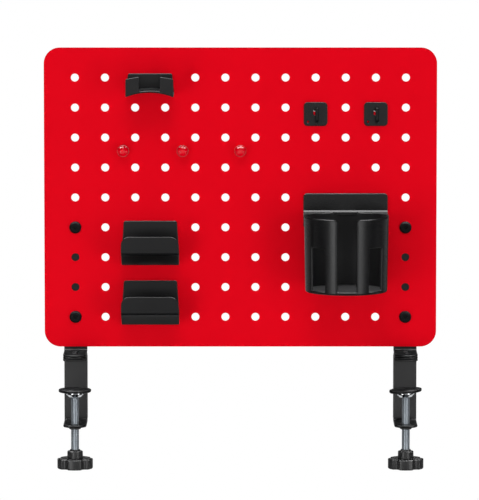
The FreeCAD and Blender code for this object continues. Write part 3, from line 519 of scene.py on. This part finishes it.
def thread(low, high, x, steps=28, per_lead=8):
    """A threaded rod: its surface rises and falls along a right-hand helix."""
    rows = int((high - low) / THREAD_LEAD * per_lead)
    rings = []
    for row in range(rows + 1):
        z = low + (high - low) * row / rows
        fade = min(1, (z - low) / RUN_OUT, (high - z) / RUN_OUT)
        rings.append([])
        for step in range(steps):
            turn = 2 * pi * step / steps
            phase = z / THREAD_LEAD - turn / (2 * pi)
            wave = abs(2 * (phase - floor(phase)) - 1)
            radius = THREAD_RADIUS - THREAD_DEPTH * wave * fade - RUN_OUT_DEPTH * (1 - fade)
            rings[-1].append(((x + radius * cos(turn)) * MM, (CLAMP_Y + radius * sin(turn)) * MM, z * MM))
    return tube(rings)


def star_radius(turn):
    """The knob's radius at an angle from the front lobe: a circle with round valleys between its lobes."""
    spacing = 2 * pi / LOBES
    off = abs(turn % spacing - spacing / 2)
    centre = KNOB_RADIUS - VALLEY_DEPTH + VALLEY_RADIUS
    limit = asin(VALLEY_RADIUS / centre)
    inner = (centre * cos(off) - sqrt(max(0, VALLEY_RADIUS ** 2 - (centre * sin(off)) ** 2))
             + max(0, off - limit) * BEYOND_VALLEY)
    share = max(0, min(1, 0.5 + (inner - KNOB_RADIUS) / (2 * LOBE_BLEND)))
    return inner * (1 - share) + KNOB_RADIUS * share - LOBE_BLEND * share * (1 - share)


tip_profile = rounded((0, SHOULDER - 1, 0), (COLLAR_RADIUS, SHOULDER - 1, 0), (COLLAR_RADIUS, SHOULDER, 0.2),
                      (TIP_RADIUS, SHOULDER, 0), (TIP_RADIUS, GROOVE_LOW, 0), (GROOVE_RADIUS, GROOVE_LOW, 0),
                      (GROOVE_RADIUS, GROOVE_HIGH, 0), (TIP_RADIUS, GROOVE_HIGH, 0),
                      (TIP_RADIUS, TIP_HIGH, 0.5), (0, TIP_HIGH, 0), steps=3)
collar, collar_high = HUB_COLLAR[0], KNOB_TOP + HUB_COLLAR[1]
hub_profile = rounded((0, STAR_TOP - 1, 0), (HUB_FOOT, STAR_TOP - 1, 0), (HUB_TOP, KNOB_TOP, 0.9),
                      (HUB_LIP, KNOB_TOP, 0.4), (collar, collar_high, 0.3), (HUB_BORE, collar_high, 0),
                      (HUB_BORE, KNOB_TOP - 1, 0), (0, KNOB_TOP - 1, 0), steps=5)
cup_profile = rounded((CUP_BORE, CUP_LOW, 0), (CUP_FOOT, CUP_LOW, 1.2), (CUP_RADIUS, 2.5, 1.4),
                      (CUP_RADIUS, CUP_RIM, 0.3), (CUP_INNER, CUP_RIM, 0.3), (CUP_INNER, 3, 1),
                      (6.6, 0.5, 1), (CUP_BORE, CUP_LOW + 1, 0), steps=5)
grooves = [(radius, height, 0.2) for outer in DISC_GROOVES
           for radius, height in ((outer + 0.3, DISC_FACE), (outer, DISC_GROOVE),
                                  (outer - 1, DISC_GROOVE), (outer - 1.3, DISC_FACE))]
disc_profile = rounded((0, CUP_RIM, 0), (15.6, CUP_RIM, 0.6), (DISC_RADIUS, 5.1, 0.5),
                       (DISC_RADIUS, 6.7, 0.4), (15.8, DISC_FACE, 0.3), *grooves, (0, DISC_FACE, 0), steps=3)
turns = [2 * pi * k / STAR_POINTS for k in range(STAR_POINTS)]
for side, sign in SIDES.items():
    x = sign * ARM_X
    spot = (x, CLAMP_Y, 0)
    screw = merged("screw", thread(SCREW_LOW, SHOULDER, x), turned(tip_profile, spot))
    piece(f"clamp_screw_{side}_shape", screw, bright_zinc, f"clamp_spindle_{side}",
          f"clamp_screw_{side}", angle=45)
    star = cut_sheet([[(x + star_radius(turn) * sin(turn), CLAMP_Y - star_radius(turn) * cos(turn))
                       for turn in turns]],
                     STAR_TOP - STAR_LOW, KNOB_EDGE, X, Y, (0, 0, (STAR_TOP + STAR_LOW) / 2))
    piece(f"clamp_knob_{side}_shape", merged("knob", star, turned(hub_profile, spot)), knob_moulding,
          f"clamp_spindle_{side}", f"clamp_knob_{side}", angle=40)
    lean = Matrix.Rotation(RIGHT_LEAN if side == "right" else 0, 4, Vector((0, -1, 0)))
    pivot = Matrix.Translation(Vector((x, CLAMP_Y, PIVOT)) * MM)
    cup, disc = turned(cup_profile, (0, 0, 0)), turned(disc_profile, (0, 0, 0), steps=64)
    for mesh in (cup, disc):
        mesh.transform(pivot @ lean)
    piece(f"swivel_cup_{side}_shape", cup, polished_zinc, f"swivel_foot_{side}",
          f"swivel_cup_{side}")
    piece(f"swivel_pad_{side}_shape", disc, pad_moulding, f"swivel_foot_{side}",
          f"swivel_pad_{side}")
    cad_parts[f"retaining_clip_{side}"].material_slots[0].material = bright_zinc

# Headphone holder: black powder-coated steel; an arched saddle for the headband, a back plate with two
# pegs, and two tabs at the front that stop the headband sliding off.
PANEL_FRONT = -PANEL_THICK
PEG_RADIUS, PEG_BEND, PEG_START, PEG_END, PEG_ROUND = 3, 8, 16, 75, 0.8
PEG_TIP = ((1, 0), (0.3, 0.25), (0, PEG_ROUND))
PEG_DROP, HANG_GAP, SHEET, SHEET_EDGE = 0.7, 0.2, 2, 0.8
PHONE_X, PHONE_ROW, PHONE_DEPTH = -90, 280, 43
ARCH, CREST, SADDLE_EDGE, SADDLE_SHORT = 66.3, 9.3, 0.9, 0.02
PHONE_TOP_HALF, PHONE_LOW_HALF, PHONE_CORNER = 22, 24, [(0.2, 3.1), (-0.3, 4.4), (-1.6, 4.9)]
TAB_IN, TAB_OUT, TAB_HIGH, TAB_LOW, TAB_IN_ROUND, TAB_OUT_ROUND = 10.3, 23.7, 4.5, 2.2, 0.8, 1.8


def peg(x, base, sides=24, steps=14):
    """A round peg from the back plate through the panel, curving up behind it, with a rounded end."""
    middle = Vector((x, -PANEL_THICK / 2, base + PEG_BEND))
    stations = [(-PEG_START + (PEG_START + PEG_END) * step / steps, PEG_RADIUS) for step in range(steps)]
    soft = degrees(PEG_ROUND / PEG_BEND)
    stations += [(PEG_END - soft * before, PEG_RADIUS - inward) for before, inward in PEG_TIP]
    rings = []
    for angle, radius in stations:
        out = Vector((0, sin(radians(angle)), -cos(radians(angle))))
        abouts = [2 * pi * k / sides for k in range(sides)]
        rings.append([(middle + out * (PEG_BEND + radius * cos(about)) + Vector(X) * radius * sin(about)) * MM
                      for about in abouts])
    work = bmesh.new()
    work.from_mesh(tube(rings))
    bmesh.ops.recalc_face_normals(work, faces=work.faces)
    return finished(work, "peg")


def arch(left, right, radius, steps=24):
    """Points along the saddle's arc of that radius, from left to right of its middle."""
    drop = CREST + ARCH
    return [(left + (right - left) * k / steps,
             sqrt(radius ** 2 - (left + (right - left) * k / steps) ** 2) - drop) for k in range(steps + 1)]


base = PHONE_ROW - PEG_DROP
plate_loop = arch(-PHONE_LOW_HALF, PHONE_LOW_HALF, ARCH - SHEET)
plate_loop += [(PHONE_TOP_HALF + out, up) for out, up in PHONE_CORNER]
plate_loop += [(-PHONE_TOP_HALF - out, up) for out, up in PHONE_CORNER[::-1]]
plate = cut_sheet([plate_loop], SHEET, SHEET_EDGE, X, Z, (PHONE_X, PANEL_FRONT - HANG_GAP - SHEET / 2, base))
saddle = cut_sheet([arch(-TAB_OUT, TAB_OUT, ARCH - SHEET) + arch(TAB_OUT, -TAB_OUT, ARCH)],
                   PHONE_DEPTH - HANG_GAP - SADDLE_SHORT, SADDLE_EDGE, X, Z,
                   (PHONE_X, PANEL_FRONT - (PHONE_DEPTH + HANG_GAP) / 2, base))
tabs = []
for sign in (-1, 1):
    inner, outer = sorted((sign * TAB_IN, sign * TAB_OUT))
    foot = arch(inner, outer, ARCH - SHEET, steps=8)
    tops = [(sign * TAB_OUT, TAB_LOW, TAB_OUT_ROUND), (sign * TAB_IN, TAB_HIGH, TAB_IN_ROUND)][::sign]
    corner = rounded((*foot[-1], 0), *tops, (*foot[0], 0))[1:-1]
    tabs.append(cut_sheet([foot + corner], SHEET, SHEET_EDGE, X, Z,
                          (PHONE_X, PANEL_FRONT - PHONE_DEPTH + SHEET / 2, base)))
phone_pegs = [peg(PHONE_X + sign * PITCH / 2, base) for sign in (-1, 1)]
piece("headphone_holder_shape", merged("phone", plate, saddle, *tabs, *phone_pegs), black_coat,
      "headphone_holder", "headphone_holder")

# Gamepad holders: each is one strip of black powder-coated steel, bent into a back plate, a shelf that
# slopes up to the front and a lip with rounded corners; two pegs are welded to the plate.
GAME_X, GAME_REACH, GAME_TOP, GAME_LOW, LIP_LOW, LIP_HEIGHT = -90, 40, 7.4, 38.3, 23.1, 18.3
GAME_TOP_HALF, GAME_HALF, GAME_BEND, GAME_EDGE, GAME_CORNER, LIP_CORNER = 26.5, 28.7, 2.6, 0.9, 2, 8.5
slope = atan((GAME_LOW - LIP_LOW) / (GAME_REACH - HANG_GAP))


def shelf_middle(depth):
    """The height of the middle of the shelf's sheet, that far before the panel."""
    return -GAME_LOW + (depth - HANG_GAP) * tan(slope) + SHEET / 2 / cos(slope)


game_sides = [(GAME_TOP_HALF, 0), (GAME_HALF, GAME_TOP + LIP_LOW), (GAME_HALF, inf)]
near, far = HANG_GAP + SHEET / 2, GAME_REACH - SHEET / 2
game_path = [(-near, GAME_TOP, 0), (-near, shelf_middle(near), GAME_BEND), (-far, shelf_middle(far), GAME_BEND),
             (-far, LIP_HEIGHT - LIP_LOW, 0)]
for name, row in (("upper", 130), ("lower", 70)):
    base = row - PEG_DROP
    strip = bent_sheet([(PANEL_FRONT + y, base + z, bend) for y, z, bend in game_path], SHEET, game_sides,
                       GAME_X, GAME_EDGE, start_round=GAME_CORNER, end_round=LIP_CORNER)
    game_pegs = [peg(GAME_X + sign * PITCH / 2, base) for sign in (-1, 1)]
    piece(f"gamepad_holder_{name}_shape", merged("gamepad", strip, *game_pegs), black_coat,
          f"gamepad_holder_{name}", f"gamepad_holder_{name}")

# Cup holder: moulded in black plastic, duller inside, where it is also painted a lighter black as painted light
# from above falling into it; a beaker with a slot for a handle at the front and a window to each side of it, a
# rim that is square towards the back plate, and two pegs.
CUP_X, CUP_ROW, CUP_PLATE, CUP_PLATE_TOP, CUP_PLATE_BELOW, CUP_PLATE_HALF = 105, 160, 3, 5.1, 34, 42.1
PLATE_TOP_ROUND, PLATE_LOW_ROUND, PLATE_EDGE = 3.8, 2, 1.2
DRINK_RADIUS, DRINK_FOOT, DRINK_WALL, DRINK_FLOOR, DRINK_HEIGHT, RIM_DROP = 42, 40.6, 2.6, 3.2, 75, 13.6
ROWS_UP, ROWS_DOWN = (0, 10, 21, 32), (18, 9, 0)
SLOT_CORNER, SLOT_HALF, WINDOW_HALF, WINDOW_TURN, WINDOW_HEIGHT = 2.4, 9.7, 9.1, 45.5, 42.8
FOOT_ROUND, WALL_ROUND, LEDGE, LEDGE_DROP, LEDGE_EDGE, BOW_RADIUS = 1.6, 1.15, 3.2, 0.03, 0.9, 41.7
SLOT_COLUMNS, POST_COLUMNS, WINDOW_COLUMNS, REAR_COLUMNS = 4, 5, 7, 26
BAR_HALF, BAR_DEEP, BAR_TALL, BAR_RISE, BAR_SLOPE, BAR_EDGE = 42, 3.4, 5, 2, (1.6, 1.8), 0.4
OVERLAP, NEARLY, SHARP = 1, 0.01, radians(35)
moulded = finish("black_moulding", (0.006, 0.006, 0.0065), 0.27, 1900.0, 0.05, patches=0.12, specular=0.24)
# Inside the beaker: rougher, and twice as light as the outside as painted light from above.
moulded_inside_painted_light = finish("inner_moulding_painted_light", (0.012, 0.012, 0.0125), 0.5, 1900.0, 0.05, patches=0.12,
                        specular=0.2)
base = CUP_ROW - PEG_DROP
rim = base - RIM_DROP
drink_low = rim - DRINK_HEIGHT
drink_floor = drink_low + DRINK_FLOOR
window_top = drink_floor + WINDOW_HEIGHT
axis_y = PANEL_FRONT - HANG_GAP - CUP_PLATE - DRINK_RADIUS + OVERLAP


def cup_turns(radius):
    """The angles from the front, in degrees, where the wall's edges and the columns between them lie."""
    slot = degrees(asin(SLOT_HALF / radius))
    window = degrees(asin(WINDOW_HALF / radius))
    marks = [0, slot, WINDOW_TURN - window, WINDOW_TURN + window, 180]
    counts = [SLOT_COLUMNS, POST_COLUMNS, WINDOW_COLUMNS, REAR_COLUMNS]
    half = [a + (b - a) * k / n for a, b, n in zip(marks, marks[1:], counts) for k in range(n)]
    return half + [180] + [360 - turn for turn in half[:0:-1]]


def wall_open(row, k):
    """Whether the wall is open there: the slot reaches the rim, and the windows end below it."""
    z = levels[row][0]
    column = k if k < count / 2 else count - 1 - k
    if column < SLOT_COLUMNS:
        return z > drink_floor - NEARLY
    past_post = column - SLOT_COLUMNS - POST_COLUMNS
    return 0 <= past_post < WINDOW_COLUMNS and drink_floor - NEARLY < z < window_top - NEARLY


def thickened(mesh, thick):
    """The mesh as a wall of that thickness, inward from its faces."""
    holder = bpy.data.objects.new("holder", mesh)
    wall = holder.modifiers.new("wall", "SOLIDIFY")
    wall.thickness, wall.offset, wall.use_even_offset = thick * MM, -1, True
    return evaluated(holder)


def slot_corner(edge):
    """Whether this is one of the two edges through the wall at the top of the slot."""
    a, b = (spot.co / MM - Vector((CUP_X, axis_y, rim)) for spot in edge.verts)
    return (max(abs(a.z), abs(b.z)) < 0.3 and max(a.y, b.y) < 0 and (a - b).length > DRINK_WALL * 0.9
            and abs(abs(a.x + b.x) / 2 - SLOT_HALF) < 1)


def wall_edge(edge):
    """Whether this is a sharp edge of the rim, the slot or a window."""
    return (min(spot.co.z for spot in edge.verts) > (drink_floor - 0.1) * MM and edge.is_manifold
            and edge.calc_face_angle() > SHARP)


def inner_face(face):
    """Whether this face is on the beaker's inside, below the rim."""
    middle = face.calc_center_median() / MM - Vector((CUP_X, axis_y, 0))
    inward = Vector((middle.x, middle.y, 0)).dot(face.normal) < 0 or face.normal.z > 0.9
    within = hypot(middle.x, middle.y) < DRINK_RADIUS - DRINK_WALL * 0.6
    return inward and within and drink_low + 1 < middle.z < rim - 1


foot_turns = [radians(turn) for turn in (0, 22, 45, 68)]
levels = [(drink_low + FOOT_ROUND * (1 - cos(turn)), FOOT_ROUND * (1 - sin(turn))) for turn in foot_turns]
levels += [(z, 0) for z in (drink_low + FOOT_ROUND, *[drink_floor + up for up in ROWS_UP], window_top,
                            *[rim - down for down in ROWS_DOWN])]
rings = []
for z, inset in levels:
    radius = DRINK_FOOT + (DRINK_RADIUS - DRINK_FOOT) * (z - drink_low) / DRINK_HEIGHT
    rings.append([((CUP_X + (radius - inset) * sin(radians(turn))) * MM,
                   (axis_y - (radius - inset) * cos(radians(turn))) * MM, z * MM)
                  for turn in cup_turns(radius)])
count = len(rings[0])
work = bmesh.new()
work.from_mesh(thickened(tube(rings, top=False, is_open=wall_open), DRINK_WALL))
bmesh.ops.delete(work, geom=[spot for spot in work.verts if not spot.link_faces], context="VERTS")
work.normal_update()
for size, steps, chosen in ((SLOT_CORNER, 5, slot_corner), (WALL_ROUND, 3, wall_edge)):
    bmesh.ops.bevel(work, geom=[edge for edge in work.edges if chosen(edge)], offset=size * MM, segments=steps,
                    profile=0.5, affect="EDGES", clamp_overlap=False)
    work.normal_update()
# The inner faces take the lighter inside moulding: painted light.
for face in work.faces:
    face.material_index = 1 if inner_face(face) else 0
beaker = finished(work, "beaker")
plate_low = CUP_PLATE_TOP - CUP_PLATE_BELOW
plate = cut_sheet([rounded((-CUP_PLATE_HALF, plate_low, PLATE_LOW_ROUND),
                           (CUP_PLATE_HALF, plate_low, PLATE_LOW_ROUND),
                           (CUP_PLATE_HALF, CUP_PLATE_TOP, PLATE_TOP_ROUND),
                           (-CUP_PLATE_HALF, CUP_PLATE_TOP, PLATE_TOP_ROUND))],
                  CUP_PLATE, PLATE_EDGE, X, Z, (CUP_X, PANEL_FRONT - HANG_GAP - CUP_PLATE / 2, base))
plate_front = PANEL_FRONT - HANG_GAP - CUP_PLATE
wings = []
for sign in (-1, 1):
    bow = [(sign * BOW_RADIUS * sin(radians(turn)), axis_y - BOW_RADIUS * cos(radians(turn)))
           for turn in range(90, 181, 5)]
    rear = plate_front + OVERLAP
    loop = bow + [(0, rear), (sign * DRINK_RADIUS, rear), (sign * DRINK_RADIUS, axis_y)]
    wings.append(cut_sheet([loop], LEDGE, LEDGE_EDGE, X, Y, (CUP_X, 0, rim - LEDGE / 2 - LEDGE_DROP)))
slope_in, slope_down = BAR_SLOPE
bar = cut_sheet([rounded((0, -BAR_TALL, 0), (0, 0, 0), (-BAR_DEEP + slope_in, 0, 0.3),
                         (-BAR_DEEP, -slope_down, 0.3), (-BAR_DEEP, -BAR_TALL, 0.3))],
                2 * BAR_HALF, BAR_EDGE, Y, Z, (CUP_X, plate_front, rim + BAR_RISE))
cup_pegs = [peg(CUP_X + sign * PITCH, base) for sign in (-1, 1)]
piece("cup_holder_shape", merged("cup", beaker, plate, bar, *wings, *cup_pegs), moulded,
      "cup_holder", "cup_holder", second=moulded_inside_painted_light)

# Small hooks: moulded in black plastic, glossier on the hook itself; a square plate with a peg, a window that
# the mould left behind the hook, and a nail hole. The plate is drawn closed over the window's lower part, a
# dark sheet standing in for the hook's shadow on the panel behind it.
HOOK_ROW, HOOK_HALF, HOOK_TOP, HOOK_HEIGHT, HOOK_CORNER, HOOK_EDGE = 250, 11.8, 6.2, 23.7, 3.8, 0.5
WINDOW, WINDOW_SIDE, WINDOW_HIGH, WINDOW_TALL, WINDOW_CORNER, WINDOW_SHADOW_FILL = 2.6, 0.4, 0.5, 12.4, 1.6, 5
NAIL_HOLE = (-7.6, -13.4, 1.2, 20)
ARM, ARM_SIDE, ARM_DEEP, ARM_EDGE, HOOK_REACH, TIP_RISE = 3.5, 1.1, 2.8, 1.35, 12, 1.4
HOOK_BEND, TIP_INNER, TIP_OUTER = 4.5, 0.9, 1.2
hook_gloss = finish("hook_gloss", BLACK, 0.2, 1900.0, 0.05, patches=0.12, specular=0.1)
base = HOOK_ROW - PEG_DROP
low, bottom = HOOK_TOP - HOOK_HEIGHT, WINDOW_HIGH - WINDOW_TALL
outline = rounded((-HOOK_HALF, low, HOOK_CORNER), (HOOK_HALF, low, HOOK_CORNER),
                  (HOOK_HALF, HOOK_TOP, HOOK_CORNER), (-HOOK_HALF, HOOK_TOP, HOOK_CORNER))
# The window's bottom is raised: the plate there stands in for the shadow the hook casts on the panel seen
# through it.
window_low, window_high = bottom + WINDOW_SHADOW_FILL, WINDOW_HIGH - WINDOW_CORNER
window = rounded(*[(WINDOW_SIDE + side * WINDOW, height, WINDOW_CORNER) for side, height in
                   ((-1, window_low), (1, window_low), (1, window_high), (-1, window_high))])
inner_y = -HOOK_REACH + ARM_DEEP
arm = rounded((-HANG_GAP, bottom, 0), (inner_y, bottom, HOOK_BEND - ARM_DEEP), (inner_y, TIP_RISE, TIP_INNER),
              (-HOOK_REACH, TIP_RISE, TIP_OUTER), (-HOOK_REACH, bottom - ARM_DEEP, HOOK_BEND),
              (-HANG_GAP, bottom - ARM_DEEP, 0))
for name, x in (("left", 75), ("right", 135)):
    plate = cut_sheet([outline, window, ring(*NAIL_HOLE)], SHEET, HOOK_EDGE, X, Z,
                      (x, PANEL_FRONT - HANG_GAP - SHEET / 2, base))
    hook = cut_sheet([arm], ARM, ARM_EDGE, Y, Z, (x + ARM_SIDE, PANEL_FRONT, base))
    piece(f"small_hook_{name}_shape", merged("hook", plate, marked(hook), peg(x, base)), moulded,
          f"small_hook_{name}", f"small_hook_{name}", second=hook_gloss)

# Magnets: red moulded pins with a waist, each with a nickel-plated magnet disc pressed into its base,
# which holds it on the steel panel.
PIN_HEIGHT, PIN_BASE, PIN_WAIST, PIN_HEAD, PIN_LENGTH, PIN_GAP = 206.8, 5.8, 4, 5.7, 11.4, 0.2
POCKET_RADIUS, POCKET_DEEP, DOME = 4.5, 2.1, 4.2
gloss_red = finish("gloss_red", (0.68, 0.0006, 0.01), 0.05, 700.0, 0.004, patches=0.03, specular=0.3)
nickel = finish("nickel", (0.6, 0.6, 0.62), 0.2, 1500.0, 0.02, patches=0.05, metallic=1.0)
pin_profile = rounded((0, POCKET_DEEP, 0), (POCKET_RADIUS, POCKET_DEEP, 0), (POCKET_RADIUS, PIN_GAP, 0),
                      (PIN_BASE, PIN_GAP, 0.4), (PIN_BASE, 3.2, 0.9), (PIN_WAIST, 4.1, 1.2),
                      (PIN_WAIST, 5.6, 1), (PIN_HEAD, 6.8, 0.9), (PIN_HEAD, PIN_LENGTH, DOME),
                      (0, PIN_LENGTH, 0), steps=8)
for name, x in (("left", -117), ("middle", -57.7), ("right", 0)):
    pin = turned(pin_profile, (x, PANEL_FRONT, PIN_HEIGHT), axis=(0, -1, 0), close=False)
    piece(f"magnet_{name}_shape", pin, gloss_red, f"magnet_{name}", f"magnet_knob_{name}")
    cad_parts[f"magnet_disc_{name}"].material_slots[0].material = nickel
